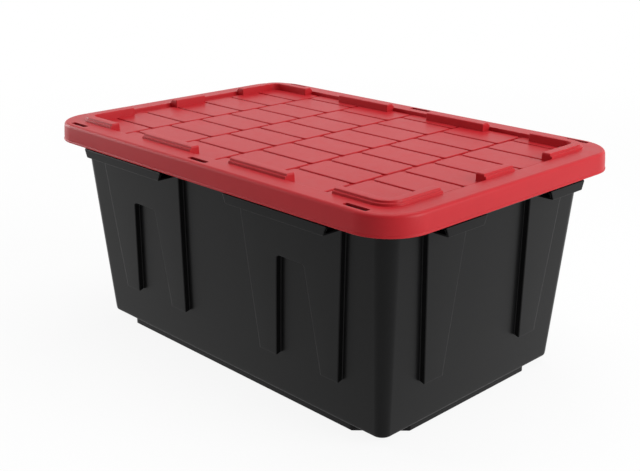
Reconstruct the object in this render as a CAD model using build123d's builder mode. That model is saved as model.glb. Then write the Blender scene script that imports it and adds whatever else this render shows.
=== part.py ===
"""A stackable storage tote: a tapered tub with raised side panels, and a lift-off snap lid.

Frame: origin at the centre of the base's underside, +Z up, +X along the long side.
All sizes are in millimetres.
"""
import os

from build123d import *

# Lid, over its lower lip
lid_length = 764.5
lid_width = 514.4
lid_corner = 65.5           # plan radius of the lid's lower lip
lid_wall = 2.8
skirt_depth = 29.4          # from the border's top down to the lower lip
skirt_lean = 1.4            # how far the skirt comes in from its foot to its top, a side
skirt_wall = 2.5
lip_height = 2.7
lip_reach = 0.8
crown_radius = 5.5          # rounding of the lid's top edge
border_width = 35.0         # flat border between the skirt's foot and the lugs
well_depth = 7.8            # border's top down to the bare floor
riser_wall = 2.5

# Stacking lugs along the border's inner edge
lug_width = 18.0
lug_rise = 6.8              # above the border
lug_step = 3.5              # the front wall's lower ridge stands out by this
lug_step_drop = 3.1         # and its top lies this far below the lug's top
lug_wall = 2.5
lug_round = 1.4
long_lug_start = 44.0       # straight lugs of the long sides, from the middle
long_lug_end = 162.0
short_lug_half = 32.0       # straight lug of each short side, each way from the middle
corner_lug_long = 97.8      # arms of the corner lugs, from the sunken floor's corner
corner_lug_short = 101.2

# Raised pads of the lid's floor, in running bond
pad_columns = 6
pad_rows = 7
pad_margin_x = 8.3          # between the outermost pads' cells and the lugs
pad_margin_y = 1.2
pad_groove = 4.0
pad_rise = 2.5
pad_corner = 6.0
pad_shell = 2.8

# Tie slots through the lid's border and the tub's flange
slot_length = 41.0
slot_width = 9.0
slot_corner = 3.0
slot_from_end = 72.0        # from the lid's short edge to the outer slots' middle
slot_inset = 16.0           # from the lid's long edge to the slot's middle line

# Tub
tub_height = 346.6          # up to the flange, on which the lid rests
tub_wall = 2.4
mouth_inset_x = 37.4        # from the lid's edge in to the wall's line, at the flange
mouth_inset_y = 36.5
mouth_corner = 25.0
wall_lean_x = 24.5          # how far the wall comes in from there to its foot
wall_lean_y = 25.4
base_corner = 16.0          # plan radius at the wall's foot
foot_round = 3.0
plinth_ledge_x = 5.8        # the plinth stands in from the wall's foot by this
plinth_ledge_y = 5.8
plinth_depth = 12.2
plinth_cut = 57.0           # 45 degree corner cuts
shoulder_drop = 19.2        # below the flange the whole wall steps out to the panels' face

# Raised panels
panel_depth = 8.6
panel_bottom = 77.5
panel_inner_low = 89.0      # from the middle of the side, at the panel's bottom and top
panel_inner_high = 67.5
long_end_low = 71.3         # from the wall's end in to the panel, at its bottom and top
long_end_high = 71.7
short_end_low = 67.4
short_end_high = 67.3
recess_top = 238.4
recess_inner_low = 125.2
recess_inner_high = 142.0
recess_outer_low = 215.0
recess_outer_high = 195.1
recess_corner = 5.0

# Rim: flange, skirt, deep bands before the panels
flange_thick = 3.0
rim_gap = 1.0               # between the rim and the lid's skirt, at the top
rim_wall = 2.6
rim_depth = 23.3            # plain rim skirt, under the flange's top
band_depth = 41.5           # deep bands
grip_depth = 30.4           # shallow band of the short sides, between the deep ones
band_start = 72.0           # from the middle of the side, at the lid's lip
long_band_inset = 102.5     # from the rim's end in to the band's outer end
short_band_inset = 96.5
band_taper = 4.5            # at its foot each end of a band has come in by this
band_reach = 5.7            # below the lid's lip a deep band steps out by this
band_gap = 1.5              # and its step lies this far under the lip
web_rise = 0.5              # the web under a band climbs inwards by this
web_wall = 2.4
weld = 1.2                  # how far one wall reaches into another that it joins

# Worked out from the sizes above
border_top = tub_height + lid_wall
lip_bottom = border_top - skirt_depth
floor_top = border_top - well_depth
floor_under = floor_top - lid_wall
lug_top = border_top + lug_rise
well_length = lid_length - 2 * border_width
well_width = lid_width - 2 * border_width
well_corner = lid_corner - border_width
corner_lug_x = well_length / 2 - corner_lug_long
corner_lug_y = well_width / 2 - corner_lug_short
pad_pitch_x = (well_length - 2 * lug_width - 2 * pad_margin_x) / pad_columns
pad_pitch_y = (well_width - 2 * lug_width - 2 * pad_margin_y) / pad_rows
mouth_length = lid_length - 2 * mouth_inset_x
mouth_width = lid_width - 2 * mouth_inset_y
base_length = mouth_length - 2 * wall_lean_x
base_width = mouth_width - 2 * wall_lean_y
plinth_length = base_length - 2 * plinth_ledge_x
plinth_width = base_width - 2 * plinth_ledge_y
long_outer = (base_length / 2 - long_end_low, mouth_length / 2 - long_end_high)
short_outer = (base_width / 2 - short_end_low, mouth_width / 2 - short_end_high)
shoulder = tub_height - shoulder_drop
foot_lean = lip_reach + skirt_lean
rim_length = lid_length - 2 * (foot_lean + skirt_wall + rim_gap)
rim_width = lid_width - 2 * (foot_lean + skirt_wall + rim_gap)
rim_corner = lid_corner - foot_lean - skirt_wall - rim_gap
slot_line = lid_width / 2 - slot_inset
slot_spacing = lid_length / 2 - slot_from_end
long_band_end = rim_length / 2 - long_band_inset
short_band_end = rim_width / 2 - short_band_inset
flange_under = tub_height - flange_thick
lug_ridge = lug_top - lug_step_drop
band_foot = tub_height - band_depth


def wall_outline(height, grow):
    """The tub's wall outline at a height, grown outwards by a distance."""
    share = (height - plinth_depth) / (tub_height - plinth_depth)
    length = base_length + share * (mouth_length - base_length)
    width = base_width + share * (mouth_width - base_width)
    corner = base_corner + share * (mouth_corner - base_corner)
    with BuildSketch(Plane.XY.offset(height)) as shape:
        RectangleRounded(length + 2 * grow, width + 2 * grow, corner + grow)
    return shape.sketch


def lid_outline(height, inset, corner_inset):
    """The lid's plan outline at a height, drawn in from its lower lip."""
    with BuildSketch(Plane.XY.offset(height)) as shape:
        RectangleRounded(lid_length - 2 * inset, lid_width - 2 * inset, lid_corner - corner_inset)
    return shape.sketch


def panel_face(plane, inner, outer, inset, has_recess):
    """Side view of a side's two raised panels, drawn in by an inset all round."""
    low = panel_bottom + inset
    high = shoulder + inset + weld
    with BuildSketch(plane) as face:
        for side in (-1, 1):
            Polygon(
                (side * (inner[0] + inset), low),
                (side * (outer[0] - inset), low),
                (side * (outer[1] - inset), high),
                (side * (inner[1] + inset), high),
                align=None,
            )
            if has_recess:
                Polygon(
                    (side * (recess_inner_low - inset), panel_bottom - weld),
                    (side * (recess_outer_low + inset), panel_bottom - weld),
                    (side * (recess_outer_high + inset), recess_top + inset),
                    (side * (recess_inner_high - inset), recess_top + inset),
                    align=None,
                    mode=Mode.SUBTRACT,
                )
        if has_recess:
            tops = face.vertices().filter_by(lambda v: abs(v.Y - recess_top - inset) < 0.01)
            fillet(tops, recess_corner)
    return face.sketch


def raised_panels(face, grow, inset):
    """Panels of one pair of sides: their side view carried through the grown wall shape."""
    with BuildPart() as block:
        loft([wall_outline(panel_bottom - weld, grow), wall_outline(shoulder + inset + weld, grow)])
        extrude(face, amount=lid_length, both=True, mode=Mode.INTERSECT)
    return block.part


def band_profile(plane, rim_half, wall_half):
    """Section of a deep band: its skin, which steps out below the lid, and the web in to the panel."""
    foot = band_foot
    web_foot = foot + web_rise
    side = 1 if rim_half > 0 else -1
    skin_half = rim_half - side * rim_wall
    face_half = rim_half + side * band_reach
    step = lip_bottom - band_gap
    with BuildSketch(plane) as section:
        Polygon(
            (face_half, foot),
            (face_half, step),
            (rim_half, step),
            (rim_half, flange_under + weld),
            (skin_half, flange_under + weld),
            (skin_half, step - rim_wall),
            (face_half - side * rim_wall, step - rim_wall),
            (face_half - side * rim_wall, foot + web_wall),
            (wall_half, web_foot + web_wall),
            (wall_half, web_foot),
            align=None,
        )
    return section.sketch


def band_face(plane, end):
    """Side view of a side's two deep bands, whose ends come in below the lid's lip."""
    with BuildSketch(plane) as face:
        for side in (-1, 1):
            Polygon(
                (side * (band_start + band_taper), band_foot - weld),
                (side * (band_start + band_taper), band_foot),
                (side * band_start, lip_bottom),
                (side * band_start, flange_under + 2 * weld),
                (side * end, flange_under + 2 * weld),
                (side * end, lip_bottom),
                (side * (end - band_taper), band_foot),
                (side * (end - band_taper), band_foot - weld),
                align=None,
            )
    return face.sketch


def deep_bands(section_plane, face_plane, rim_half, wall_half, end):
    """The deep bands of one pair of sides: their section, carried along and cut to their side view."""
    with BuildPart() as bands:
        for facing in (-1, 1):
            extrude(band_profile(section_plane, facing * rim_half, facing * wall_half), amount=end, both=True)
        extrude(band_face(face_plane, end), amount=lid_length, both=True, mode=Mode.INTERSECT)
    return bands.part


def tie_slots(height):
    """The six tie slots, on a plane at a height."""
    with BuildSketch(Plane.XY.offset(height)) as slots:
        with GridLocations(slot_spacing, 2 * slot_line, 3, 2):
            RectangleRounded(slot_length, slot_width, slot_corner)
    return slots.sketch


def lug_plan(height, front, trim):
    """Plan of all lugs: a ring inside the border, kept where a lug stands.

    front is the set-back of the lugs' outer face, trim the set-back of the other faces.
    """
    inner_length = well_length - 2 * lug_width + 2 * trim
    inner_width = well_width - 2 * lug_width + 2 * trim
    with BuildSketch(Plane.XY.offset(height)) as windows:
        for x_side in (-1, 1):
            with Locations((x_side * well_length / 2, 0)):
                Rectangle(3 * lug_width, 2 * (short_lug_half - trim))
            for y_side in (-1, 1):
                middle = (long_lug_start + long_lug_end) / 2
                with Locations((x_side * middle, y_side * well_width / 2)):
                    Rectangle(long_lug_end - long_lug_start - 2 * trim, 3 * lug_width)
                start_x = corner_lug_x + trim
                start_y = corner_lug_y + trim
                with Locations((x_side * (start_x + lid_length) / 2, y_side * (start_y + lid_width) / 2)):
                    Rectangle(lid_length - start_x, lid_width - start_y)
    with BuildSketch(Plane.XY.offset(height)) as plan:
        RectangleRounded(well_length - 2 * front, well_width - 2 * front, well_corner - front)
        RectangleRounded(inner_length, inner_width, well_corner - lug_width + trim, mode=Mode.SUBTRACT)
        add(windows.sketch, mode=Mode.INTERSECT)
    return plan.sketch


def pad_plan(height, trim):
    """Plan of the floor's pads in running bond: odd columns are shifted by half a pad."""
    with BuildSketch(Plane.XY.offset(height)) as plan:
        for column in range(pad_columns):
            x = (column - (pad_columns - 1) / 2) * pad_pitch_x
            shifted = column % 2
            for row in range(pad_rows + shifted):
                y = (row - (pad_rows - 1 + shifted) / 2) * pad_pitch_y
                depth = pad_pitch_y
                if shifted and row in (0, pad_rows):
                    depth = pad_pitch_y / 2
                    y += depth / 2 if row == 0 else -depth / 2
                with Locations((x, y)):
                    RectangleRounded(
                        pad_pitch_x - pad_groove - 2 * trim,
                        depth - pad_groove - 2 * trim,
                        pad_corner - trim / 2,
                    )
    return plan.sketch


def plinth_outline(height, inset):
    """The plinth's plan, a rectangle with its corners cut off at 45 degrees."""
    with BuildSketch(Plane.XY.offset(height)) as shape:
        Rectangle(plinth_length - 2 * inset, plinth_width - 2 * inset)
        chamfer(shape.vertices(), plinth_cut)
    return shape.sketch


def rim_outline(height, inset):
    """The tub's rim in plan, drawn in from its outer face."""
    with BuildSketch(Plane.XY.offset(height)) as shape:
        RectangleRounded(rim_length - 2 * inset, rim_width - 2 * inset, rim_corner - inset)
    return shape.sketch


# Panels and the pockets behind them, one pair of sides at a time
panel_inner = (panel_inner_low, panel_inner_high)
panels = []
pockets = []
for plane, outer, recessed in ((Plane.XZ, long_outer, True), (Plane.YZ, short_outer, False)):
    outside = panel_face(plane, panel_inner, outer, 0, recessed)
    inside = panel_face(plane, panel_inner, outer, tub_wall, recessed)
    panels.append(raised_panels(outside, panel_depth, 0))
    pockets.append(raised_panels(inside, panel_depth - tub_wall, tub_wall))

# Height and reach of the webs where they meet the panels
web_top = band_foot + web_rise
web_share = (web_top - plinth_depth) / (tub_height - plinth_depth)
web_half_x = (base_length + web_share * (mouth_length - base_length)) / 2 + panel_depth - weld
web_half_y = (base_width + web_share * (mouth_width - base_width)) / 2 + panel_depth - weld

with BuildPart() as tub:
    # Wall with a rounded foot, standing on its plinth
    loft([wall_outline(plinth_depth, 0), wall_outline(tub_height, 0)])
    fillet(tub.edges().group_by(Axis.Z)[0], foot_round)
    extrude(plinth_outline(0, 0), amount=plinth_depth + tub_wall)

    # Raised panels, and the shoulder that carries their face all round
    add(panels)
    loft([wall_outline(shoulder, panel_depth), wall_outline(tub_height, panel_depth)])

    # Flange and plain rim skirt
    extrude(rim_outline(tub_height, 0), amount=-flange_thick)
    extrude(rim_outline(tub_height, 0) - rim_outline(tub_height, rim_wall), amount=-rim_depth)

    # Deep bands before the panels: two on each side
    add(deep_bands(Plane.YZ, Plane.XZ, rim_width / 2, web_half_y, long_band_end))
    add(deep_bands(Plane.XZ, Plane.YZ, rim_length / 2, web_half_x, short_band_end))

    # Shallow bands over the hand grips of the short sides
    with BuildSketch(Plane.XY.offset(tub_height)):
        with GridLocations(rim_length - rim_wall, 0, 2, 1):
            Rectangle(rim_wall, 2 * band_start)
    extrude(amount=-grip_depth)

    # Inside: tub, floor well, pockets behind the panels and the shoulder
    floor = plinth_depth + tub_wall
    loft([wall_outline(floor, -tub_wall), wall_outline(tub_height, -tub_wall)], mode=Mode.SUBTRACT)
    well = plinth_outline(tub_wall, tub_wall)
    extrude(well, amount=plinth_depth, mode=Mode.SUBTRACT)
    add(pockets, mode=Mode.SUBTRACT)
    step = panel_depth - tub_wall
    loft([wall_outline(shoulder + tub_wall, step), wall_outline(tub_height, step)], mode=Mode.SUBTRACT)

    # Tie slots through the flange
    extrude(tie_slots(tub_height), amount=-flange_thick, mode=Mode.SUBTRACT)

with BuildPart() as lid:
    # Cap: leaning skirt, rounded crown, lower lip
    loft([lid_outline(lip_bottom, lip_reach, lip_reach), lid_outline(border_top, foot_lean, foot_lean)])
    fillet(lid.edges().group_by(Axis.Z)[-1], crown_radius)
    extrude(lid_outline(lip_bottom, 0, 0), amount=lip_height)
    inner_low = lid_outline(lip_bottom, lip_reach + skirt_wall, lip_reach + skirt_wall)
    inner_high = lid_outline(tub_height, foot_lean + skirt_wall, foot_lean + skirt_wall)
    loft([inner_low, inner_high], mode=Mode.SUBTRACT)

    # Sunken floor in its riser
    with BuildSketch(Plane.XY.offset(floor_under)):
        RectangleRounded(well_length + 2 * riser_wall, well_width + 2 * riser_wall, well_corner + riser_wall)
    extrude(amount=border_top - floor_under)
    with BuildSketch(Plane.XY.offset(floor_top)):
        RectangleRounded(well_length, well_width, well_corner)
    extrude(amount=well_depth, mode=Mode.SUBTRACT)

    # Floor pads, moulded up from below
    extrude(pad_plan(floor_top, 0), amount=pad_rise)
    extrude(pad_plan(floor_under, pad_shell), amount=pad_rise, mode=Mode.SUBTRACT)

    # Lugs: a full-width foot, then a set-back top, hollow from below
    extrude(lug_plan(floor_top, 0, 0), amount=lug_ridge - floor_top)
    extrude(lug_plan(lug_ridge, lug_step, 0), amount=lug_top - lug_ridge)
    fillet(lid.edges().group_by(Axis.Z)[-1], lug_round)
    lug_inside = lug_plan(floor_under, lug_step + lug_wall, lug_wall)
    extrude(lug_inside, amount=lug_top - lug_wall - floor_under, mode=Mode.SUBTRACT)

    # Tie slots through the border
    extrude(tie_slots(tub_height), amount=lid_wall, mode=Mode.SUBTRACT)

tub.part.label = "tub"
lid.part.label = "lid"

os.makedirs("parts", exist_ok=True)
export_step(tub.part, "parts/tub.step")
export_step(lid.part, "parts/lid.step")
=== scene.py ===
"""Storage tote with a lift-off lid: the moulded surfaces, their plastics and a plain studio."""
import math

import bpy
import numpy as np
from bpy.props import FloatProperty, FloatVectorProperty, IntProperty, PointerProperty
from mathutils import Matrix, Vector


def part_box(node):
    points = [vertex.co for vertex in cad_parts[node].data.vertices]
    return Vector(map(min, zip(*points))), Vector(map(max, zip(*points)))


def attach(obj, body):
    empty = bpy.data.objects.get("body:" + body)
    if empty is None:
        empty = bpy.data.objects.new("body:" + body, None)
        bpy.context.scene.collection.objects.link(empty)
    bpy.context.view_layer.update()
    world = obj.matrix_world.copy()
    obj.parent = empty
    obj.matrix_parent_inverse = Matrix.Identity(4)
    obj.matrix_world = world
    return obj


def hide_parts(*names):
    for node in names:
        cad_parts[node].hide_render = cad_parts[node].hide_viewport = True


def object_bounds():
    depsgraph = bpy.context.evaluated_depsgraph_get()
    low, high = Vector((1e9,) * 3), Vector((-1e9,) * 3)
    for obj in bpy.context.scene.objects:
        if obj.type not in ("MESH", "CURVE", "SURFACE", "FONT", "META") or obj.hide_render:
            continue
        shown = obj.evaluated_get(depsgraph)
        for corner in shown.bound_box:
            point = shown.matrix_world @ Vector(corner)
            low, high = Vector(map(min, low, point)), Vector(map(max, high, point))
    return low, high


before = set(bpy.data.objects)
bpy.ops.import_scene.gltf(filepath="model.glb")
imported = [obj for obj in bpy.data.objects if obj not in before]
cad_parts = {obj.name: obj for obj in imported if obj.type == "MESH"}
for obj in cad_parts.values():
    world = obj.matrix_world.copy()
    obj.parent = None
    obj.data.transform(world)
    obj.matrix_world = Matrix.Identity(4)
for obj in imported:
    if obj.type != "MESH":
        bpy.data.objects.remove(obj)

bl_info = {
    "name": "Storage Tote",
    "version": (1, 0, 0),
    "blender": (4, 5, 0),
    "location": "View3D > Sidebar > Tote",
    "description": "Builds a stackable storage tote, its tub and its lid, and a studio around them",
    "category": "Add Mesh",
}

CAD_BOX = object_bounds()
LID_LOW, LID_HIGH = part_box("lid")
TUB_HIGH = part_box("tub")[1]
MM = 0.001
ARC_STEPS = 14          # faces along each rounded corner
SLIVER = 0.02 * MM      # offset of two columns or rows that bound an upright face
CREASE = math.radians(50)       # a sharper edge is shaded as a crease


# ---------------------------------------------------------------- properties

def length(name, default, description):
    """A length property in metres."""
    return FloatProperty(
        name=name, default=default, description=description, unit="LENGTH", precision=4
    )


def colour(name, default, description):
    """A linear colour property."""
    return FloatVectorProperty(
        name=name, default=default, description=description, subtype="COLOR", size=3, min=0, max=1
    )


class ToteTubSizes(bpy.types.PropertyGroup):
    wall: length("Wall", 2.4 * MM, "Thickness of the tub's wall")
    mouth_x: length("Mouth half length", LID_HIGH.x - 37.4 * MM,
                    "Wall's line at the flange, from the middle")
    mouth_y: length("Mouth half width", LID_HIGH.y - 36.5 * MM,
                    "Wall's line at the flange, from the middle")
    lean_x: length("Lean of the ends", 24.5 * MM,
                   "How far the short walls come in down to the foot")
    lean_y: length("Lean of the sides", 25.4 * MM,
                   "How far the long walls come in down to the foot")
    mouth_corner: length("Mouth corner", 25 * MM, "Plan radius of the wall at the flange")
    base_corner: length("Foot corner", 16 * MM, "Plan radius of the wall at its foot")
    foot_round: length("Foot rounding", 3 * MM, "Rounding where the wall turns under")
    plinth_depth: length("Plinth depth", 12.2 * MM, "Height of the plinth under the wall")
    plinth_ledge_x: length("Plinth ledge, ends", 5.8 * MM, "Step from the foot in to the plinth")
    plinth_ledge_y: length("Plinth ledge, sides", 5.8 * MM, "Step from the foot in to the plinth")
    plinth_cut: length("Plinth corner cut", 57 * MM,
                       "Size of the plinth's corner cuts along a side")
    shoulder_drop: length("Shoulder", 19.2 * MM,
                          "Depth below the flange at which the wall steps out")
    panel_depth: length("Panel depth", 8.6 * MM, "How far the panels stand out of the wall")
    panel_bottom: length("Panel bottom", 77.5 * MM, "Height of the panels' lower edge")
    panel_tuck: length("Panel underside slope", 3 * MM,
                       "How much the panels' underside climbs inwards")
    recess_top: length("Recess top", 238.4 * MM, "Height of the recess in each long panel")
    recess_round: length("Recess corner", 5 * MM, "Rounding of the recess's upper corners")
    rim_inset: length("Rim inset", 5.7 * MM, "From the lid's edge in to the rim's outer face")
    rim_wall: length("Rim wall", 2.6 * MM, "Thickness of the rim's skirt")
    rim_corner: length("Rim corner", 59.8 * MM, "Plan radius of the rim")
    flange: length("Flange", 3 * MM, "Thickness of the flange")
    rim_depth: length("Rim depth", 23.3 * MM, "Plain depth of the rim's skirt")
    band_depth: length("Band depth", 41.5 * MM, "Depth of the rim before the panels")
    grip_depth: length("Grip depth", 30.4 * MM, "Depth of the rim over the end grips")
    band_reach: length("Band reach", 5.7 * MM,
                       "How far the deep bands step out below the lid's lip")
    band_taper: length("Band taper", 4.5 * MM,
                       "How far a deep band's ends have come in at its foot")
    band_gap: length("Band gap", 1.5 * MM, "From the lid's lip down to that step")
    web_rise: length("Web rise", 0.5 * MM, "How much the web behind a band climbs inwards")
    bow: length("Bow", 0.9 * MM, "Outward bow of the long walls at their middle")
    panel_near_low: length("Panel edge, foot", 89 * MM,
                           "Panels' near edge from the middle, at their foot")
    panel_near_high: length("Panel edge, top", 67.5 * MM,
                            "Panels' near edge from the middle, at the shoulder")
    long_far_low: length("Long panel end, foot", 71.3 * MM,
                         "Long panels' far edge from the wall's end, at the foot")
    long_far_high: length("Long panel end, top", 71.7 * MM,
                          "Long panels' far edge from the wall's end, at the top")
    short_far_low: length("Short panel end, foot", 67.4 * MM,
                          "Short panels' far edge from the wall's end, at the foot")
    short_far_high: length("Short panel end, top", 67.3 * MM,
                           "Short panels' far edge from the wall's end, at the top")
    recess_near_low: length("Recess edge, foot", 125.2 * MM,
                            "Recesses' near edge from the middle, at the foot")
    recess_near_high: length("Recess edge, top", 142 * MM,
                             "Recesses' near edge from the middle, at the top")
    recess_far_low: length("Recess end, foot", 215 * MM,
                           "Recesses' far edge from the middle, at the foot")
    recess_far_high: length("Recess end, top", 195.1 * MM,
                            "Recesses' far edge from the middle, at the top")
    band_start: length("Band start", 72 * MM, "Where the deep bands begin, from the middle")
    long_band_end: length("Long band end", 102.5 * MM,
                          "Where they end, from the rim's end, on the long sides")
    short_band_end: length("Short band end", 96.5 * MM,
                           "Where they end, from the rim's end, on the short sides")


class ToteLidSizes(bpy.types.PropertyGroup):
    corner: length("Lid corner", 65.5 * MM, "Plan radius of the lid's lower lip")
    wall: length("Lid wall", 2.8 * MM, "Thickness of the border and the floor")
    skirt_wall: length("Skirt wall", 2.5 * MM, "Thickness of the skirt and the riser")
    skirt_lean: length("Skirt lean", 1.4 * MM,
                       "How far the skirt comes in from its foot to its top")
    lip: length("Lip", 0.8 * MM, "How far the lower lip stands out of the skirt")
    lip_height: length("Lip height", 2.7 * MM, "Height of the lower lip")
    crown: length("Crown", 5.5 * MM, "Rounding of the lid's top edge")
    border: length("Border", 35 * MM, "Width of the flat border")
    well_depth: length("Well depth", 7.8 * MM, "From the border down to the bare floor")
    lug_width: length("Lug width", 18 * MM, "Width of the stacking lugs")
    lug_rise: length("Lug rise", 6.8 * MM, "Height of the lugs above the border")
    lug_step: length("Lug step", 3.5 * MM, "How far the lower ridge of a lug's front stands out")
    lug_step_drop: length("Lug ridge drop", 3.1 * MM, "From a lug's top down to its lower ridge")
    pad_rise: length("Pad rise", 2.5 * MM, "Height of the floor's pads")
    pad_groove: length("Pad groove", 4 * MM, "Width of the grooves between the pads")
    pad_corner: length("Pad corner", 6 * MM, "Plan radius of the pads")
    slot_length: length("Slot length", 41 * MM, "Length of the tie slots")
    slot_width: length("Slot width", 9 * MM, "Width of the tie slots")
    slot_inset: length("Slot inset", 16 * MM, "From the lid's long edge to the slots' middle")
    slot_corner: length("Slot corner", 3 * MM, "Rounding of the tie slots' corners")
    long_lug_start: length("Long lug start", 44 * MM,
                           "Where the long sides' lugs begin, from the middle")
    long_lug_end: length("Long lug end", 162 * MM,
                         "Where the long sides' lugs end, from the middle")
    short_lug_half: length("Short lug", 32 * MM,
                           "Half length of the lug in the middle of each short side")
    corner_lug_x: length("Corner lug, sides", LID_HIGH.x - 132.8 * MM,
                         "Where the corner lugs begin, along the lid")
    corner_lug_y: length("Corner lug, ends", LID_HIGH.y - 136.2 * MM,
                         "Where the corner lugs begin, across the lid")
    pad_margin_x: length("Pad margin, ends", 8.3 * MM, "From the well's wall to the pads")
    pad_margin_y: length("Pad margin, sides", 1.2 * MM, "From the well's wall to the pads")
    slot_end: length("Slot from end", 72 * MM,
                     "From the lid's short edge to the outer slots' middle")
    pad_columns: IntProperty(name="Pad columns", default=6, min=1,
                             description="Columns of pads along the lid")
    pad_rows: IntProperty(name="Pad rows", default=7, min=1,
                          description="Rows of pads across the lid")


class ToteColours(bpy.types.PropertyGroup):
    tub: colour("Tub", (0.004, 0.004, 0.0042), "Black moulded plastic")
    lid: colour("Lid", (0.43, 0.014, 0.02), "Red moulded plastic")
    floor: colour("Floor", (0.88, 0.88, 0.88), "Studio floor")


# ---------------------------------------------------------------- mesh tools

def level_rings(half_x, half_y, radius, x_cols, y_cols, chord):
    """Level rings, one a row: a rectangle whose corners are quarter circles, or their chords.

    Each ring runs anticlockwise from the +X side: straight sides take the given columns, and a
    corner point is its centre plus radius times (cos, sin), blended by chord with the straight
    line between the corner's ends. Returns x, y and the unit normals of the columns.
    """
    turn = np.linspace(0, np.pi / 2, ARC_STEPS + 1)
    share = np.linspace(0, 1, ARC_STEPS + 1)
    cut = chord[:, None]
    arc_x = (1 - cut) * np.cos(turn) + cut * (1 - share)
    arc_y = (1 - cut) * np.sin(turn) + cut * share
    r = radius[:, None]
    hx = half_x[:, None]
    hy = half_y[:, None]
    side_x = hx * np.ones_like(y_cols)
    side_y = hy * np.ones_like(x_cols)
    x = np.hstack([
        side_x, hx - r + r * arc_x, x_cols[:, ::-1], r - hx - r * arc_y,
        -side_x, r - hx - r * arc_x, x_cols, hx - r + r * arc_y,
    ])
    y = np.hstack([
        y_cols, hy - r + r * arc_y, side_y, hy - r + r * arc_x,
        y_cols[:, ::-1], r - hy - r * arc_y, -side_y, r - hy - r * arc_x,
    ])
    long_zero = np.zeros(x_cols.shape[1])
    short_zero = np.zeros(y_cols.shape[1])
    c = np.cos(turn)
    s = np.sin(turn)
    nx = np.hstack([short_zero + 1, c, long_zero, -s, short_zero - 1, -c, long_zero, s])
    ny = np.hstack([short_zero, s, long_zero + 1, c, short_zero, -s, long_zero - 1, -c])
    return x, y, nx, ny


def around(long_value, short_value, corner_value):
    """A value for every column of a ring, from those of the long side, short side and corners."""
    corner = np.full(ARC_STEPS + 1, float(corner_value))
    return np.hstack([short_value, corner, long_value, corner] * 2)


def shell(points, start_cap=False, end_cap=False):
    """Vertices and faces of a grid of points whose columns wrap round, with caps on its end rings.

    Each quad joins two neighbours of a ring with the same two of the next ring.
    """
    rows, columns = points.shape[:2]
    index = np.arange(rows * columns).reshape(rows, columns)
    right = np.roll(index, -1, axis=1)
    faces = np.stack([index[:-1], right[:-1], right[1:], index[1:]], -1).reshape(-1, 4).tolist()
    if start_cap:
        faces.append(index[0, ::-1].tolist())
    if end_cap:
        faces.append(index[-1].tolist())
    return points.reshape(-1, 3), faces


def new_piece(name, shells):
    """One mesh object out of several shells of vertices and faces."""
    points = np.vstack([p for p, _ in shells])
    faces = []
    start = 0
    for p, f in shells:
        faces += [[i + start for i in face] for face in f]
        start += len(p)
    mesh = bpy.data.meshes.new(name)
    mesh.from_pydata(points.tolist(), [], faces)
    mesh.update()
    piece = bpy.data.objects.new(name, mesh)
    bpy.context.scene.collection.objects.link(piece)
    return piece


def cut_away(piece, cutter):
    """Takes the cutter's volume out of a piece, for good, and deletes the cutter."""
    modifier = piece.modifiers.new("cut", "BOOLEAN")
    modifier.operation = "DIFFERENCE"
    modifier.solver = "EXACT"
    modifier.object = cutter
    depsgraph = bpy.context.evaluated_depsgraph_get()
    mesh = bpy.data.meshes.new_from_object(piece.evaluated_get(depsgraph))
    piece.modifiers.clear()
    piece.data = mesh
    bpy.data.objects.remove(cutter)


def join_shells(piece, shells):
    """A piece of the same name that has the old one's mesh and further shells."""
    mesh = piece.data
    co = np.zeros(len(mesh.vertices) * 3)
    mesh.vertices.foreach_get("co", co)
    own = (co.reshape(-1, 3), [list(p.vertices) for p in mesh.polygons])
    name = piece.name
    bpy.data.objects.remove(piece)
    return new_piece(name, [own] + shells)


def finish_mesh(piece, body, material):
    """Smooth shading with crisp edges, normals weighted by area, and the body a piece rides."""
    mesh = piece.data
    mesh.shade_smooth()
    mesh.set_sharp_from_angle(angle=CREASE)
    weighted = piece.modifiers.new("weighted", "WEIGHTED_NORMAL")
    weighted.mode = "FACE_AREA"
    weighted.keep_sharp = True
    mesh.materials.clear()
    mesh.materials.append(material)
    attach(piece, body)


# ---------------------------------------------------------------- columns along the sides

# Distance from an upright edge, and share of the step taken there
STEP_AT = np.array([-1.2, -0.35, 0.0, 0.02, 0.6, 1.9]) * MM
STEP_SHARE = np.array([0.0, 0.03, 0.11, 0.88, 0.97, 1.0])
# The same distances up the wall, by a panel's foot or the shoulder, and by a recess's top
FOOT_AT = STEP_AT * 0.9
CEILING_AT = STEP_AT[::-1] * -0.6
# Distance above a panel's foot, and share of its underside's slope there
TUCK_AT = np.array([-0.4, 0.0, 0.02, 2.0, 5.0]) * MM
TUCK_SHARE = np.array([0.0, 0.0, 1.0, 1.0, 0.0])
# Distance from a lug's end, and its share of the lug, outside and inside its wall
END_AT = np.array([-1.0, 0.0, 0.03, 0.45, 1.3, 2.5, 2.53, 4.0]) * MM
END_OUTER = np.array([0.0, 0.0, 0.84, 0.95, 1.0, 1.0, 1.0, 1.0])
END_INNER = np.array([0.0, 0.0, 0.0, 0.0, 0.0, 0.0, 1.0, 1.0])


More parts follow.
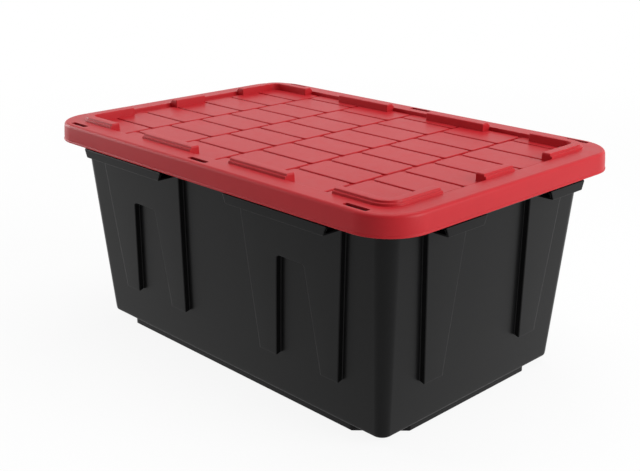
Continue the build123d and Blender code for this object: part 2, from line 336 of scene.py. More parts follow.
def panel_columns(inner, outer, end, recess=None):
    """Columns of a side with a raised panel each side of its middle.

    inner, outer, end and recess's two edges are arrays, one value a row. Returns the columns, and
    for each its share of the panel's height and of the recess, which are 0 at the middle.
    """
    parts = [0.5 * inner[:, None], inner[:, None] + STEP_AT]
    panel = [[0.0], STEP_SHARE]
    hollow = [[0.0], 0 * STEP_SHARE]
    last = inner
    if recess is not None:
        near, far = recess
        parts += [0.5 * (inner + near)[:, None], near[:, None] - STEP_AT[::-1]]
        parts += [0.5 * (near + far)[:, None], far[:, None] + STEP_AT]
        panel += [[1.0], 1 + 0 * STEP_SHARE] * 2
        hollow += [[0.0], 1 - STEP_SHARE[::-1], [1.0], 1 - STEP_SHARE]
        last = far
    parts += [0.5 * (last + outer)[:, None], outer[:, None] - STEP_AT[::-1]]
    parts += [0.5 * (outer + end)[:, None]]
    panel += [[1.0], STEP_SHARE[::-1], [0.0]]
    hollow += [[0.0], 0 * STEP_SHARE, [0.0]]
    half = np.hstack(parts)
    columns = np.hstack([-half[:, ::-1], 0 * half[:, :1], half])
    panel, hollow = (np.hstack(share) for share in (panel, hollow))
    return columns, np.hstack([panel[::-1], 0, panel]), np.hstack([hollow[::-1], 0, hollow])


# ---------------------------------------------------------------- tub

def panel_edges(s):
    """Distances of the upright edges from a side's middle: the panels' at foot and top, the bands'.

    Each of the three holds the near edge, and the far edge on the long and on the short sides.
    """
    foot_x, foot_y = s.mouth_x - s.lean_x, s.mouth_y - s.lean_y
    rim_x, rim_y = LID_HIGH.x - s.rim_inset, LID_HIGH.y - s.rim_inset
    return (
        (s.panel_near_low, foot_x - s.long_far_low, foot_y - s.short_far_low),
        (s.panel_near_high, s.mouth_x - s.long_far_high, s.mouth_y - s.short_far_high),
        (s.band_start, rim_x - s.long_band_end, rim_y - s.short_band_end),
    )


def wall_outline(s, z, grow):
    """The wall's half sizes and corner radius at a height, grown outwards.

    They run evenly with height from the foot's to the mouth's.
    """
    share = (z - s.plinth_depth) / (TUB_HIGH.z - s.plinth_depth)
    hx = s.mouth_x - (1 - share) * s.lean_x + grow
    hy = s.mouth_y - (1 - share) * s.lean_y + grow
    r = s.base_corner + share * (s.mouth_corner - s.base_corner) + grow
    return hx, hy, r


def wall_rows(s, inset):
    """Rows of the wall from foot to shoulder, outside (inset 0) or inside the moulding.

    A raised panel moves a column outwards by its depth times the column's share of the panel and
    the row's share of the step at its foot, less the same product for the recess, and the shoulder
    lifts what is left. A long wall also bows out, by half a wave up it and a parabola along it.
    """
    foot = s.plinth_depth
    shoulder = TUB_HIGH.z - s.shoulder_drop
    bottom = s.panel_bottom + inset
    edge = bottom + s.panel_tuck
    ceiling = s.recess_top + inset
    ledge = shoulder + inset
    rounding = ceiling - s.recess_round * (1 - np.sin(np.linspace(0, np.pi / 2, 7)[:-1]))
    beside, clear, wide, broad = 6 * MM, 8 * MM, 12 * MM, 20 * MM
    z = np.sort(np.hstack([
        # Rows of the edges themselves, with those of the recess's corner just under its top ones
        edge + FOOT_AT, rounding - 1.3 * MM, ceiling + CEILING_AT, ledge + FOOT_AT,
        # Spare rows in the plain stretches between them
        np.linspace(foot + inset + beside, bottom - clear, 4), edge + beside,
        np.linspace(bottom + broad, ceiling - wide, 8),
        np.linspace(ceiling + wide, ledge - clear, 5),
    ]))
    panel_up = np.interp(z, edge + FOOT_AT, STEP_SHARE)
    tucked = np.interp(z, edge + TUCK_AT, TUCK_SHARE)
    hollow_up = np.interp(z, ceiling + CEILING_AT, STEP_SHARE[::-1])
    ledge_up = np.interp(z, ledge + FOOT_AT, STEP_SHARE)

    # Edges of panels and recesses, which lean, and pinch in round a recess's upper corners
    hx, hy, r = wall_outline(s, z, -inset)
    rise = (z - s.panel_bottom) / (shoulder - s.panel_bottom)
    low_edges, high_edges, _ = panel_edges(s)
    near, long_far, short_far = (a + rise * (b - a) for a, b in zip(low_edges, high_edges))
    climb = np.minimum((z - s.panel_bottom) / (s.recess_top - s.panel_bottom), 1)
    round_share = np.clip((z - (ceiling - s.recess_round)) / s.recess_round, 0, 1)
    pinch = s.recess_round * (1 - np.sqrt(1 - round_share ** 2)) * (z < ceiling + 2 * MM)
    hollow_near = s.recess_near_low + climb * (s.recess_near_high - s.recess_near_low)
    hollow_far = s.recess_far_low + climb * (s.recess_far_high - s.recess_far_low)
    recess = (hollow_near - inset + pinch, hollow_far + inset - pinch)
    xs, panel_x, hollow_x = panel_columns(near + inset, long_far - inset, hx - r, recess)
    ys, panel_y, hollow_y = panel_columns(near + inset, short_far - inset, hy - r)

    panel = around(panel_x, panel_y, 0)
    hollow = around(hollow_x, hollow_y, 0)
    up = panel_up[:, None] * panel
    stand = np.maximum(up * (1 - hollow_up[:, None] * hollow), ledge_up[:, None])
    x, y, nx, ny = level_rings(hx, hy, r, xs, ys, 0 * z)
    wave = np.sin(np.pi * np.clip((z - foot) / (TUB_HIGH.z - foot), 0, 1))[:, None]
    bulge = s.bow * wave * np.clip(1 - (x / s.mouth_x) ** 2, 0, 1) * np.abs(ny)
    out = s.panel_depth * stand + bulge
    tuck = s.panel_tuck * tucked[:, None] * (1 - hollow) * up
    return np.stack([x + nx * out, y + ny * out, z[:, None] - tuck], -1)


def plain_rows(s, hx, hy, r, z, chord=0.0, on_rim=False, out=0.0, taper=0.0):
    """Rows without panels, whose columns stand over the panels' edges or, on the rim, the bands'.

    z, and how far a point stands out, may differ from column to column, and the taper, which
    brings the bands' ends in, from row to row.
    """
    one = np.ones(len(z))
    hx, hy, r, chord = hx * one, hy * one, r * one, chord * one
    foot, top, band = panel_edges(s)
    upper = np.min(z) > 0.5 * TUB_HIGH.z
    near, long_far, short_far = band if on_rim else top if upper else foot
    recess = (s.recess_near_low * one, s.recess_far_low * one)
    if upper:
        recess = (s.recess_near_high * one, s.recess_far_high * one)
    near = near * one + taper
    xs, _, _ = panel_columns(near, long_far * one - taper, hx - r, recess)
    ys, _, _ = panel_columns(near, short_far * one - taper, hy - r)
    x, y, nx, ny = level_rings(hx, hy, r, xs, ys, chord)
    z = np.reshape(z, (len(one), -1)) + 0 * x
    return np.stack([x + nx * out, y + ny * out, z], -1)


def rim_rows(s):
    """Shoulder's face, flange's underside, rim skirt, and the flange's top and inner edge.

    The skirt is one section carried round the rim. Its lower rows hang at a column's own depth,
    and in a deep band those below the lid's lip stand out by the band's reach.
    """
    top = TUB_HIGH.z
    under = top - s.flange
    rim_x, rim_y = LID_HIGH.x - s.rim_inset, LID_HIGH.y - s.rim_inset
    turn = np.linspace(0, np.pi / 2, 6)
    outer_round, inner_round = 2 * MM, 1 * MM
    z = np.array([under - 2 * MM, under])
    rows = [plain_rows(s, *wall_outline(s, z, s.panel_depth), z)]

    # Depth of the skirt's lower edge below the flange, column by column
    one = np.ones(1)
    _, deep_x, _ = panel_columns(one, one, one, (one, one))
    _, deep_y, _ = panel_columns(one, one, one)
    middle, half = len(deep_y) // 2, len(STEP_AT)
    grip = 0 * deep_y
    grip[middle - half:middle + half + 1] = 1.0
    deep = around(deep_x, deep_y, 0)
    shallow = around(0 * deep_x, grip * (1 - deep_y), 0)
    low = top - s.rim_depth
    low = low - deep * (s.band_depth - s.rim_depth) - shallow * (s.grip_depth - s.rim_depth)

    # Set-back of each row from the face, its share of a band's reach and of its taper, its height
    # over the skirt's lower edge in edge roundings, and its height where a deep band steps out
    edge = 0.9 * MM
    wall = s.rim_wall
    skirt = np.array([
        [wall, 0, 0, 2.2, 0], [wall, 0, 0, 2.0, -wall], [wall, 1, 0, 1.6, -wall - SLIVER],
        [wall, 1, 1, 1.0, -1], [wall - 0.3 * edge, 1, 1, 0.3, -1], [wall - edge, 1, 1, 0, -1],
        [edge, 1, 1, 0, -1], [0.3 * edge, 1, 1, 0.3, -1], [0, 1, 1, 1.0, -1],
        [0, 1, 0, 1.5, -edge], [0.3 * edge, 1, 0, 1.7, -0.3 * edge], [edge, 1, 0, 1.9, 0],
        [0, 0, 0, 2.0, SLIVER], [0, 0, 0, 2.3, 4 * MM], [0, 0, 0, 2.5, 0],
    ])
    inset, push, tapered = skirt[:, :3].T
    step = LID_LOW.z - s.band_gap
    skirt_z = np.maximum(low + edge * skirt[:, 3:4], step + skirt[:, 4:5])
    skirt_z[0] = under
    skirt_z[-1] = top - outer_round
    rows.append(plain_rows(
        s, rim_x - inset, rim_y - inset, s.rim_corner - inset, skirt_z, on_rim=True,
        out=s.band_reach * push[:, None] * deep, taper=s.band_taper * tapered,
    ))

    # Outer rounding, inner rounding and the upright face inside, down to the shoulder
    inset = outer_round * (1 - np.cos(turn))[1:]
    z = top - outer_round * (1 - np.sin(turn))[1:]
    rows.append(plain_rows(s, rim_x - inset, rim_y - inset, s.rim_corner - inset, z, on_rim=True))
    hx, hy, r = wall_outline(s, top, s.panel_depth - s.wall)
    inset = inner_round * (1 - np.sin(turn))
    z = top - inner_round * (1 - np.cos(turn))
    rows.append(plain_rows(s, hx + inset, hy + inset, r + inset, z))
    z = np.array([top - 4 * MM, top - s.shoulder_drop + s.wall + 4 * MM])
    rows.append(plain_rows(s, *wall_outline(s, z, s.panel_depth - s.wall), z))
    return rows


def tub_rows(s):
    """The tub's rings, from the underside up the outside, over the rim and down the inside."""
    foot = s.plinth_depth
    base_x, base_y = s.mouth_x - s.lean_x, s.mouth_y - s.lean_y
    plinth_x, plinth_y = base_x - s.plinth_ledge_x, base_y - s.plinth_ledge_y
    turn = np.linspace(0, np.pi / 2, 6)
    heel = 1.5 * MM         # rounding of the plinth's lower edge
    cove = 3 * MM           # rounding inside, at the wall's foot

    # Plinth and foot, outside
    inset = heel * (1 - np.sin(turn))
    z = heel * (1 - np.cos(turn))
    rows = [plain_rows(s, plinth_x - inset, plinth_y - inset, s.plinth_cut, z, chord=1.0)]
    rows.append(plain_rows(s, plinth_x, plinth_y, s.plinth_cut, [foot - heel, foot], chord=1.0))
    inset = s.foot_round * (1 - np.sin(turn))
    z = foot + s.foot_round * (1 - np.cos(turn))
    rows.append(plain_rows(s, base_x - inset, base_y - inset, s.base_corner - inset, z))

    rows += [wall_rows(s, 0.0), *rim_rows(s), wall_rows(s, s.wall)[::-1]]

    # Inside, from the wall's foot down to the floor of the plinth's well
    inset = cove * (1 - np.cos(turn)) + s.wall
    z = foot + s.wall + cove * (1 - np.sin(turn))
    rows.append(plain_rows(s, base_x - inset, base_y - inset, s.base_corner - inset, z))
    edge = s.wall + cove * 0.5
    inset = np.array([s.wall, s.wall, edge])
    z = [foot + s.wall, edge, s.wall]
    rows.append(plain_rows(s, plinth_x - inset, plinth_y - inset, s.plinth_cut, z, chord=1.0))
    return np.concatenate(rows)


def band_webs(s):
    """The webs that close the deep bands from below: a flat section carried along each band.

    Each web's four sides end inside the band's wall and the panel, so that no edge of it shows.
    """
    top = TUB_HIGH.z
    low = top - s.band_depth
    hx, hy, _ = wall_outline(s, low + s.web_rise, 0.0)
    _, _, (start, end_x, end_y) = panel_edges(s)
    rim = s.band_reach - s.rim_inset
    bury = 1.2 * MM         # how far the web runs into the panel and stops short of the band's face
    side_gap = 0.8 * MM     # and from the band's ends
    thick = 2.3 * MM
    lift = 0.3 * MM         # of its outer edge above the band's foot
    webs = []
    spans = ((0, LID_HIGH.y + rim, hy, end_x), (1, LID_HIGH.x + rim, hx, end_y))
    for axis, face, wall, end in spans:
        inner = wall + s.panel_depth - bury
        across = np.array([face - bury, face - bury, inner, inner])
        height = low + np.array([lift + thick, lift, s.web_rise, s.web_rise + thick])
        for facing in (-1, 1):
            for side in (-1, 1):
                along = np.array([start + s.band_taper + side_gap, end - s.band_taper - side_gap])
                a, b = np.meshgrid(side * along, facing * across, indexing="ij")
                h = np.broadcast_to(height, a.shape)
                points = np.stack([a, b, h] if axis == 0 else [b, a, h], -1)
                if (side == facing) == (axis == 0):
                    points = points[:, ::-1]
                webs.append(shell(points, start_cap=True, end_cap=True))
    return webs


# ---------------------------------------------------------------- lid

def lid_columns(s):
    """The lid's outer ring and, for each column, its outward normal and its two shares of a lug.

    The ring's inset by d is the ring less d times the normal, because the corners are arcs. The
    shares are those of a lug's outside and of the hollow inside its wall.
    """
    straight_x = LID_HIGH.x - s.corner
    straight_y = LID_HIGH.y - s.corner
    begin = END_AT
    stop = -END_AT[::-1]
    start, end, corner_x = s.long_lug_start, s.long_lug_end, s.corner_lug_x
    half_x = np.hstack([
        start / 2, start + begin, (start + end) / 2, end + stop, (end + corner_x) / 2,
        corner_x + begin, (corner_x + straight_x) / 2,
    ])
    end, corner_y = s.short_lug_half, s.corner_lug_y
    half_y = np.hstack([
        end / 2, end + stop, (end + corner_y) / 2, corner_y + begin, (corner_y + straight_y) / 2,
    ])
    shares = []
    for end_share in (END_OUTER, END_INNER):
        long_side = np.hstack([0, end_share, 1, end_share[::-1], 0, end_share, 1])
        short_side = np.hstack([1, end_share[::-1], 0, end_share, 1])
        long_side = np.hstack([long_side[::-1], 0, long_side])
        short_side = np.hstack([short_side[::-1], 1, short_side])
        shares.append(around(long_side, short_side, 1))
    x_cols = np.hstack([-half_x[::-1], 0, half_x])[None, :]
    y_cols = np.hstack([-half_y[::-1], 0, half_y])[None, :]
    hx, hy, r = (np.array([v]) for v in (LID_HIGH.x, LID_HIGH.y, s.corner))
    return *level_rings(hx, hy, r, x_cols, y_cols, 0 * r), *shares


def lid_rows(s):
    """The lid's shell: a section (inset, height) carried round the lid, in rows.

    It runs from the middle of the underside out to the lip, up the skirt and back in to the floor.
    Where a column has a share of a lug, its points lie that share of the way from the plain
    section to the section through a lug.
    """
    m = MM
    top = LID_HIGH.z
    border = top - s.lug_rise
    floor = border - s.well_depth
    under = floor - s.wall
    below = border - s.wall
    ridge = top - s.lug_step_drop
    a = s.border
    w = s.skirt_wall
    front = a + s.lug_step
    inner = a + s.lug_width
    tongue = inner + 2.5 * m

    # Under the floor, up the riser's inside and out under the border
    plain_under = [
        (tongue, under), (inner - w, under), (inner - w - 0.2 * m, under),
        (inner - w - 2 * m, under), (inner - w - 4 * m, under), (a + 9 * m, under),
        (a + 7 * m, under), (a + 5 * m, under), (a + 3 * m, under), (a + 1 * m, under),
        (a - w + 0.5 * m, under), (a - w + 0.1 * m, under + 0.4 * m), (a - w, below - 0.4 * m),
        (a - w - 0.5 * m, below),
    ]
    # The same, up into a lug's hollow, along under its top and down its front's two steps
    lug_under = [
        (tongue, under), (inner - w, under), (inner - w - 0.05 * m, under + 0.8 * m),
        (inner - w - 0.3 * m, top - w - 0.6 * m), (inner - w - 0.9 * m, top - w),
        (front + w + 0.8 * m, top - w), (front + w + 0.3 * m, top - w - 0.6 * m),
        (front + w + 0.2 * m, ridge - w + 0.2 * m), (front + w - 0.2 * m, ridge - w),
        (a + w + 0.6 * m, ridge - w), (a + w + 0.1 * m, ridge - w - 0.5 * m),
        (a + w, below + 0.5 * m), (a + w - 0.5 * m, below), (a - w + 0.6 * m, below),
    ]
    # Down the skirt's inside, round the lip, up the bowed skirt and over the crown
    foot = LID_LOW.z
    lip_top = foot + s.lip_height
    face = s.lip
    top_in = s.lip + s.skirt_lean
    crown_foot = border - s.crown
    turn = np.linspace(0, np.pi / 2, 7)
    up = np.linspace(0.12, 0.92, 8)
    belly = 0.35 * m * np.sin(np.pi * up)
    outside = np.vstack([
        [
            (20 * m, below), (top_in + w + 1.5 * m, below),
            (top_in + w + 0.4 * m, below - 0.4 * m), (top_in + w, below - 1.5 * m),
            (face + w, foot + 0.5 * m), (face + w - 0.5 * m, foot), (0.6 * m, foot),
            (0.15 * m, foot + 0.2 * m), (0, foot + 0.6 * m), (0, lip_top - 0.7 * m),
            (0.2 * m, lip_top - 0.15 * m), (face - 0.15 * m, lip_top + 0.1 * m),
            (face + 0.02 * m, lip_top + 0.5 * m),
        ],
        np.stack([face + up * s.skirt_lean - belly, foot + up * (crown_foot - foot)], -1),
        np.stack([top_in + s.crown * (1 - np.cos(turn)), crown_foot + s.crown * np.sin(turn)], -1),
        [(a * 0.5, border), (a - 1.6 * m, border)],
    ])
    # Down the riser and in over the floor
    plain_top = [
        (a - 0.7 * m, border), (a - 0.25 * m, border - 0.15 * m), (a, border - 0.7 * m),
        (a + 0.05 * m, border - 1.6 * m), (a + 0.1 * m, border - 2.6 * m),
        (a + 0.15 * m, border - 3.6 * m), (a + 0.2 * m, border - 4.6 * m),
        (a + 0.25 * m, floor + 2 * m), (a + 0.3 * m, floor + 1.2 * m),
        (a + 0.55 * m, floor + 0.4 * m), (a + 1.3 * m, floor), (a + 4 * m, floor),
        (a + 9 * m, floor), (a + 12 * m, floor), (inner - 4 * m, floor), (inner - 2 * m, floor),
        (inner, floor), (inner + 1 * m, floor), (tongue, floor),
    ]
    # The same, up a lug's front with its lower ridge, over its top and down its back
    lug_top = [
        (a - 0.3 * m, border), (a, border + 0.3 * m), (a + 0.2 * m, ridge - 1 * m),
        (a + 0.5 * m, ridge - 0.3 * m), (a + 1.2 * m, ridge), (front - 0.5 * m, ridge),
        (front - 0.05 * m, ridge + 0.35 * m), (front + 0.1 * m, top - 1.1 * m),
        (front + 0.45 * m, top - 0.3 * m), (front + 1.3 * m, top), (a + 9.5 * m, top),
        (inner - 1.8 * m, top), (inner - 0.9 * m, top - 0.3 * m), (inner - 0.5 * m, top - 1.1 * m),
        (inner - 0.2 * m, floor + 6 * m), (inner, floor + 1 * m),
        (inner + 0.3 * m, floor + 0.25 * m), (inner + 1.2 * m, floor), (tongue, floor),
    ]
    x, y, nx, ny, outer, hollow = lid_columns(s)
    parts = []
    for plain, lug, share in (
        (plain_under, lug_under, hollow),
        (outside, outside, 0 * outer),
        (plain_top, lug_top, outer),
    ):
        plain, lug = (np.array(section)[:, None, :] for section in (plain, lug))
        section = plain + share[None, :, None] * (lug - plain)
        d = section[..., 0]
        parts.append(np.stack([x - d * nx, y - d * ny, section[..., 1]], -1))
    return np.concatenate(parts)


def floor_pads(s):
    """The floor's pads in running bond: rounded rectangles with rounded top edges, one shell each.

    A pad's rings lie inset by the rounding's cosine at its sine's height. Its outline stops a
    little inside the walls of the lugs that stand on it.
    """
    floor = LID_HIGH.z - s.lug_rise - s.well_depth
    well_x = LID_HIGH.x - s.border
    well_y = LID_HIGH.y - s.border
    field_x = well_x - s.pad_margin_x
    field_y = well_y - s.pad_margin_y
    pitch_x = 2 * field_x / s.pad_columns
    pitch_y = 2 * field_y / s.pad_rows
    bury = 1.2 * MM         # how far a pad runs into a lug's wall
    lug_x = well_x - s.lug_width + bury
    lug_y = well_y - s.lug_width + bury
    turn = np.linspace(0, np.pi / 2, 5)
    round_edge = 1.2 * MM
    lean = 0.3 * MM         # of a pad's sides, and the height of their lower ring
    inset = np.hstack([0, lean / 2, lean + round_edge * (1 - np.cos(turn))])
    height = np.hstack([-0.4 * MM, lean, s.pad_rise - round_edge * (1 - np.sin(turn))])
    # A column on each side of a lug's end, between which a pad's outline steps in
    before, past = 0.3 * MM, 1.4 * MM
    edges_x, edges_y = (
        np.hstack([sign * (end + step) for sign in (-1, 1) for step in (before, past)])
        for end in (
            np.array([s.long_lug_start, s.long_lug_end, s.corner_lug_x]),
            np.array([s.short_lug_half, s.corner_lug_y]),
        )
    )
    shells = []
    for column in range(s.pad_columns):
        shift = 0.5 * (column % 2)
        cuts = np.clip(np.arange(s.pad_rows + 2) - shift, 0, s.pad_rows) * pitch_y - field_y
        x0 = column * pitch_x - field_x + s.pad_groove / 2
        x1 = x0 + pitch_x - s.pad_groove
        for low, high in zip(cuts[:-1], cuts[1:]):
            if high - low < pitch_y / 4:
                continue
            y0 = low + s.pad_groove / 2
            y1 = high - s.pad_groove / 2
            cx, cy = (x0 + x1) / 2, (y0 + y1) / 2
            hx, hy = (x1 - x0) / 2 - inset, (y1 - y0) / 2 - inset
            r = np.minimum(s.pad_corner, 0.4 * (y1 - y0)) - inset
            x_cols = np.sort(edges_x[np.abs(edges_x - cx) < hx[0] - r[0] - 0.1 * MM]) - cx
            y_cols = np.sort(edges_y[np.abs(edges_y - cy) < hy[0] - r[0] - 0.1 * MM]) - cy
            rows = np.ones((len(inset), 1))
            x, y, _, _ = level_rings(hx, hy, r, x_cols * rows, y_cols * rows, 0 * hx)
            x, y = x + cx, y + cy
            along, across = np.abs(x), np.abs(y)
            by_long_lug = (along > s.long_lug_start + MM) & (along < s.long_lug_end - MM)
            by_side = by_long_lug | (along > s.corner_lug_x + MM)
            by_end = (across < s.short_lug_half - MM) | (across > s.corner_lug_y + MM)
            reach_x = np.where(by_end, lug_x - inset[:, None], field_x)
            reach_y = np.where(by_side, lug_y - inset[:, None], field_y)
            x = np.sign(x) * np.minimum(along, reach_x)
            y = np.sign(y) * np.minimum(across, reach_y)
            z = floor + height[:, None] + 0 * x
            shells.append(shell(np.stack([x, y, z], -1), start_cap=True, end_cap=True))
    return shells


def slot_cutters(s):
    """Upright pins with the tie slots' outline, one for each slot: two level rings, capped."""
    outer = LID_HIGH.x - s.slot_end
    z = np.array([TUB_HIGH.z - 20 * MM, LID_HIGH.z + 5 * MM])
    hx, hy, r = (np.array([v, v]) for v in (s.slot_length / 2, s.slot_width / 2, s.slot_corner))
    no_cols = np.zeros((2, 1))
    x, y, _, _ = level_rings(hx, hy, r, no_cols, no_cols, 0 * r)
    shells = []
    for cx in (-outer, 0, outer):
        for cy in (s.slot_inset - LID_HIGH.y, LID_HIGH.y - s.slot_inset):
            points = np.stack([x + cx, y + cy, z[:, None] + 0 * x], -1)
            shells.append(shell(points, start_cap=True, end_cap=True))
    return shells


# ---------------------------------------------------------------- materials

# Places of a colour Mix node's sockets and of Texture Coordinate's Object output
MIX_SHARE, MIX_FIRST, MIX_SECOND, COLOUR_OUT = 0, 6, 7, 2
OBJECT_OUT = 3


class Value:
    """A node's output. Sums and products on it add their Math nodes."""

    def __init__(self, finish, socket):
        self.finish = finish
        self.socket = socket

    def __add__(self, other):
        return self.finish.node("Math", {"operation": "ADD"}, self, other)

    def __mul__(self, other):
        return self.finish.node("Math", {"operation": "MULTIPLY"}, self, other)

    __radd__ = __add__
    __rmul__ = __mul__


class Finish:
    """The node tree of a material, or of the world, and its surface shader if it has one."""

    def __init__(self, owner, shader="BsdfPrincipled", output="OutputMaterial"):
        owner.use_nodes = True
        self.owner = owner
        self.tree = owner.node_tree
        self.tree.nodes.clear()
        self.output = self.tree.nodes.new("ShaderNode" + output)
        self.shader = self.tree.nodes.new("ShaderNode" + shader) if shader else None
        if shader:
            self.tree.links.new(self.shader.outputs[0], self.output.inputs["Surface"])

    def node(self, kind, settings=None, *values, out=0, **sockets):
        """Adds a node of a kind: its settings first, then its sockets' values or links.

        A ramp's stops are pairs of a place and a grey.
        """
        made = self.tree.nodes.new("ShaderNode" + kind)
        for name, value in (settings or {}).items():
            if name == "stops":
                for element, (place, grey) in zip(made.color_ramp.elements, value):
                    element.position = place
                    element.color = (grey, grey, grey, 1)
            else:
                setattr(made, name, value)
        for key, value in [*enumerate(values), *sockets.items()]:
            self.feed(made, key, value)
        return Value(self, made.outputs[out])

    def feed(self, node, key, value):
        """Sets or links one socket, by its index or its name with underscores for spaces."""
        socket = node.inputs[key.replace("_", " ") if isinstance(key, str) else key]
        if isinstance(value, Value):
            self.tree.links.new(value.socket, socket)
        elif hasattr(value, "__len__") and socket.type == "RGBA":
            socket.default_value = (*value[:3], 1)
        else:
            socket.default_value = value

    def surface(self, **sockets):
        """Sets or links the shader's sockets."""
        for key, value in sockets.items():
            self.feed(self.shader, key, value)

    def background_ray(self):
        """1 where a ray comes from the camera, a mirror or glass, and 0 where it carries light."""
        kinds = ("Is Camera Ray", "Is Glossy Ray", "Is Transmission Ray")
        camera, glossy, through = (self.node("LightPath", None, out=kind) for kind in kinds)
        return camera + glossy + through

    def noise(self, where, scale, detail=2.0, roughness=0.5):
        """A noise pattern with that many features a metre, from 0 to 1."""
        sockets = {"Vector": where, "Scale": scale, "Detail": detail, "Roughness": roughness}
        return self.node("TexNoise", None, **sockets)

    def blend(self, share, first, second):
        """A colour that goes from the first to the second with a share."""
        made = self.node("Mix", {"data_type": "RGBA"}, out=COLOUR_OUT)
        for index, value in zip((MIX_SHARE, MIX_FIRST, MIX_SECOND), (share, first, second)):
            self.feed(made.socket.node, index, value)
        return made


# Patterns of the moulded plastic, in features a metre
FLOW_MARKS = 7
MOTTLE = 60
GRAIN = 1500
RUB_MARKS = (90, 90, 900)       # short level marks, far finer in height
RUB_STOPS = [(0.60, 0.0), (0.78, 1.0)]


def moulded_plastic(name, base, roughness, specular):
    """Injection-moulded plastic: fine grain, slow flow marks, a mottle and faint rub marks.

    The colour runs from a tenth darker to a tenth lighter with the flow and the mottle, the
    roughness rises a little with mottle and rubbing, and grain and flow make the bumps.
    """
    finish = Finish(bpy.data.materials.new(name))
    place = finish.node("TexCoord", None, out=OBJECT_OUT)
    flow = finish.noise(place, FLOW_MARKS, 3)
    mottle = finish.noise(place, MOTTLE, 4, 0.6)
    fine = finish.noise(place, GRAIN, 2)
    stretched = finish.node("Mapping", None, Vector=place, Scale=RUB_MARKS)
    rubbed = finish.node("ValToRGB", {"stops": RUB_STOPS}, finish.noise(stretched, 1, 3, 0.65))
    dark = [c * 0.90 for c in base]
    light = [min(1.0, c * 1.10 + 0.0015) for c in base]
    bumps = {"Strength": 0.25, "Distance": 0.1 * MM, "Height": fine + 2.5 * flow}
    finish.surface(
        Base_Color=finish.blend(0.55 * flow + 0.45 * mottle, dark, light),
        Roughness=roughness - 0.05 + 0.10 * mottle + 0.05 * rubbed,
        Normal=finish.node("Bump", None, **bumps),
        Specular_IOR_Level=specular,
    )
    return finish.owner


# ---------------------------------------------------------------- operators

class TOTE_OT_tub(bpy.types.Operator):
    """Build the tub: plinth, leaning walls with raised panels, shoulder and rim"""

    bl_idname = "tote.tub"
    bl_label = "Tub"

    def execute(self, context):
        scene = context.scene
        s = scene.tote_tub
        piece = new_piece("tub_shell", [shell(tub_rows(s), start_cap=True, end_cap=True)])
        cut_away(piece, new_piece("slot_pins", slot_cutters(scene.tote_lid)))
        piece = join_shells(piece, band_webs(s))
        base = scene.tote_colours.tub
        black = moulded_plastic("tub_plastic", base, roughness=0.30, specular=0.115)
        finish_mesh(piece, "tub", black)
        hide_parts("tub")
        return {"FINISHED"}


class TOTE_OT_lid(bpy.types.Operator):
    """Build the lid: lip, skirt, border with tie slots, stacking lugs and the floor's pads"""

    bl_idname = "tote.lid"
    bl_label = "Lid"

    def execute(self, context):
        scene = context.scene
        s = scene.tote_lid
        piece = new_piece("lid_shell", [shell(lid_rows(s), start_cap=True, end_cap=True)])
        cut_away(piece, new_piece("slot_pins", slot_cutters(s)))
        piece = join_shells(piece, floor_pads(s))
        base = scene.tote_colours.lid
        red = moulded_plastic("lid_plastic", base, roughness=0.38, specular=0.16)
        finish_mesh(piece, "lid", red)
        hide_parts("lid")
        return {"FINISHED"}


# Each lamp's place and size in metres, and its power in watts
LAMPS = {
    "left_lamp": ((-3.0, -1.0, 1.0), (1.8, 1.8), 50),
    "right_lamp": ((2.8, 1.0, 1.2), (2.0, 1.8), 80),
    "top_lamp": ((0.0, 0.4, 3.0), (2.4, 2.4), 60),
}
SKY_FILL = 0.18                 # world's light on the objects; white stays behind them
CAMERA_TURN = math.radians(45.75)       # from -Y towards +X
CAMERA_RISE = math.radians(19.0)
CAMERA_DISTANCE = 1.674
CAMERA_LENS = 58
FLOOR_REACH = 12.0
FLOOR_SIDES = 48
# The floor's share of plain white by the tote and far off, and the distances it rises between
WHITE_NEAR, WHITE_FAR = 0.9, 1.0
FADE_START, FADE_END = 0.7, 2.6


def area_light(name, place, target, size, power):
    """A soft rectangular lamp at a place, facing a target."""
    lamp = bpy.data.lights.new(name, "AREA")
    lamp.shape = "RECTANGLE"
    lamp.size, lamp.size_y = size
    lamp.energy = power
    holder = bpy.data.objects.new(name, lamp)
    holder.location = place
    holder.rotation_euler = (Vector(target) - Vector(place)).to_track_quat("-Z", "Y").to_euler()
    bpy.context.scene.collection.objects.link(holder)


def studio_floor(shade):
    """A round floor of matt paper, which background rays see as nearly plain white.

    The rest of what they see is the paper, so a faint shadow stays, and far off it fades out.
    """
    radius = FLOOR_REACH * np.array([[1.0], [0.5]])
    angle = np.linspace(0, 2 * np.pi, FLOOR_SIDES, endpoint=False)[None, :]
    points = np.stack([radius * np.cos(angle), radius * np.sin(angle), 0 * radius * angle], -1)
    floor = new_piece("studio_floor", [shell(points, end_cap=True)])
    paper = Finish(bpy.data.materials.new("studio_paper"), None)
    matt = paper.node("BsdfDiffuse", None, Color=shade)
    glow = paper.node("Emission", None, Color=(1, 1, 1), Strength=1.0)
    place = paper.node("TexCoord", None, out=OBJECT_OUT)
    away = paper.node("VectorMath", {"operation": "LENGTH"}, place, out=1)
    fade = (away, FADE_START, FADE_END, WHITE_NEAR, WHITE_FAR)
    white = paper.node("MapRange", {"interpolation_type": "SMOOTHSTEP"}, *fade)
    mixed = paper.node("MixShader", None, white * paper.background_ray(), matt, glow)
    paper.tree.links.new(mixed.socket, paper.output.inputs["Surface"])
    floor.data.materials.append(paper.owner)


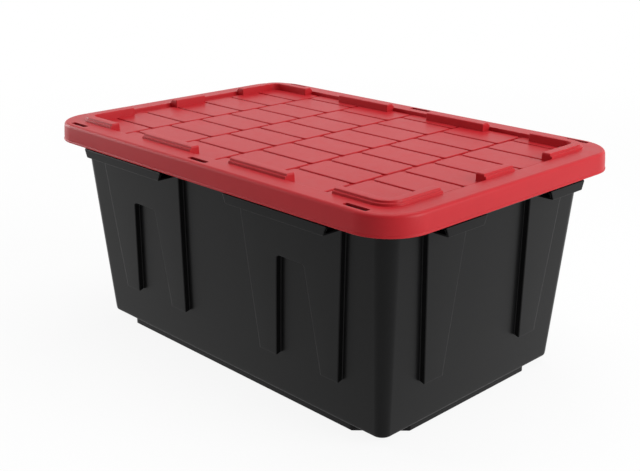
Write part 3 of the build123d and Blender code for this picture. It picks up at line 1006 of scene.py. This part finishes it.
class TOTE_OT_stage(bpy.types.Operator):
    """Lay a plain floor, hang soft lamps and set up the camera"""

    bl_idname = "tote.stage"
    bl_label = "Studio"

    def execute(self, context):
        scene = context.scene
        studio_floor(scene.tote_colours.floor)
        scene.world = bpy.data.worlds.new("studio")
        sky = Finish(scene.world, "Background", "OutputWorld")
        sky.surface(Color=(1, 1, 1), Strength=SKY_FILL + (1 - SKY_FILL) * sky.background_ray())

        centre = (CAD_BOX[0] + CAD_BOX[1]) / 2
        for name, (place, size, power) in LAMPS.items():
            area_light(name, place, centre, size, power)

        level = math.cos(CAMERA_RISE)
        back = Vector((
            math.sin(CAMERA_TURN) * level, -math.cos(CAMERA_TURN) * level, math.sin(CAMERA_RISE),
        ))
        camera = bpy.data.objects.new("camera", bpy.data.cameras.new("camera"))
        camera.data.lens = CAMERA_LENS
        camera.location = centre + back * CAMERA_DISTANCE
        camera.rotation_euler = (-back).to_track_quat("-Z", "Y").to_euler()
        scene.collection.objects.link(camera)
        scene.camera = camera
        scene.view_settings.view_transform = "Standard"
        return {"FINISHED"}


class TOTE_PT_panel(bpy.types.Panel):
    """The tote's pieces, sizes and colours"""

    bl_idname = "TOTE_PT_panel"
    bl_label = "Storage Tote"
    bl_space_type = "VIEW_3D"
    bl_region_type = "UI"
    bl_category = "Tote"

    def draw(self, context):
        scene = context.scene
        for operator in ("tote.tub", "tote.lid", "tote.stage"):
            self.layout.operator(operator)
        for group in (scene.tote_colours, scene.tote_lid, scene.tote_tub):
            for name in group.bl_rna.properties.keys():
                if name not in ("rna_type", "name"):
                    self.layout.prop(group, name)


CLASSES = (
    ToteTubSizes, ToteLidSizes, ToteColours, TOTE_OT_tub, TOTE_OT_lid, TOTE_OT_stage, TOTE_PT_panel,
)


def register():
    for item in CLASSES:
        bpy.utils.register_class(item)
    bpy.types.Scene.tote_tub = PointerProperty(type=ToteTubSizes)
    bpy.types.Scene.tote_lid = PointerProperty(type=ToteLidSizes)
    bpy.types.Scene.tote_colours = PointerProperty(type=ToteColours)


def unregister():
    del bpy.types.Scene.tote_tub, bpy.types.Scene.tote_lid, bpy.types.Scene.tote_colours
    for item in reversed(CLASSES):
        bpy.utils.unregister_class(item)


def main():
    register()
    bpy.ops.tote.tub()
    bpy.ops.tote.lid()
    bpy.ops.tote.stage()


if __name__ == "__main__":
    main()
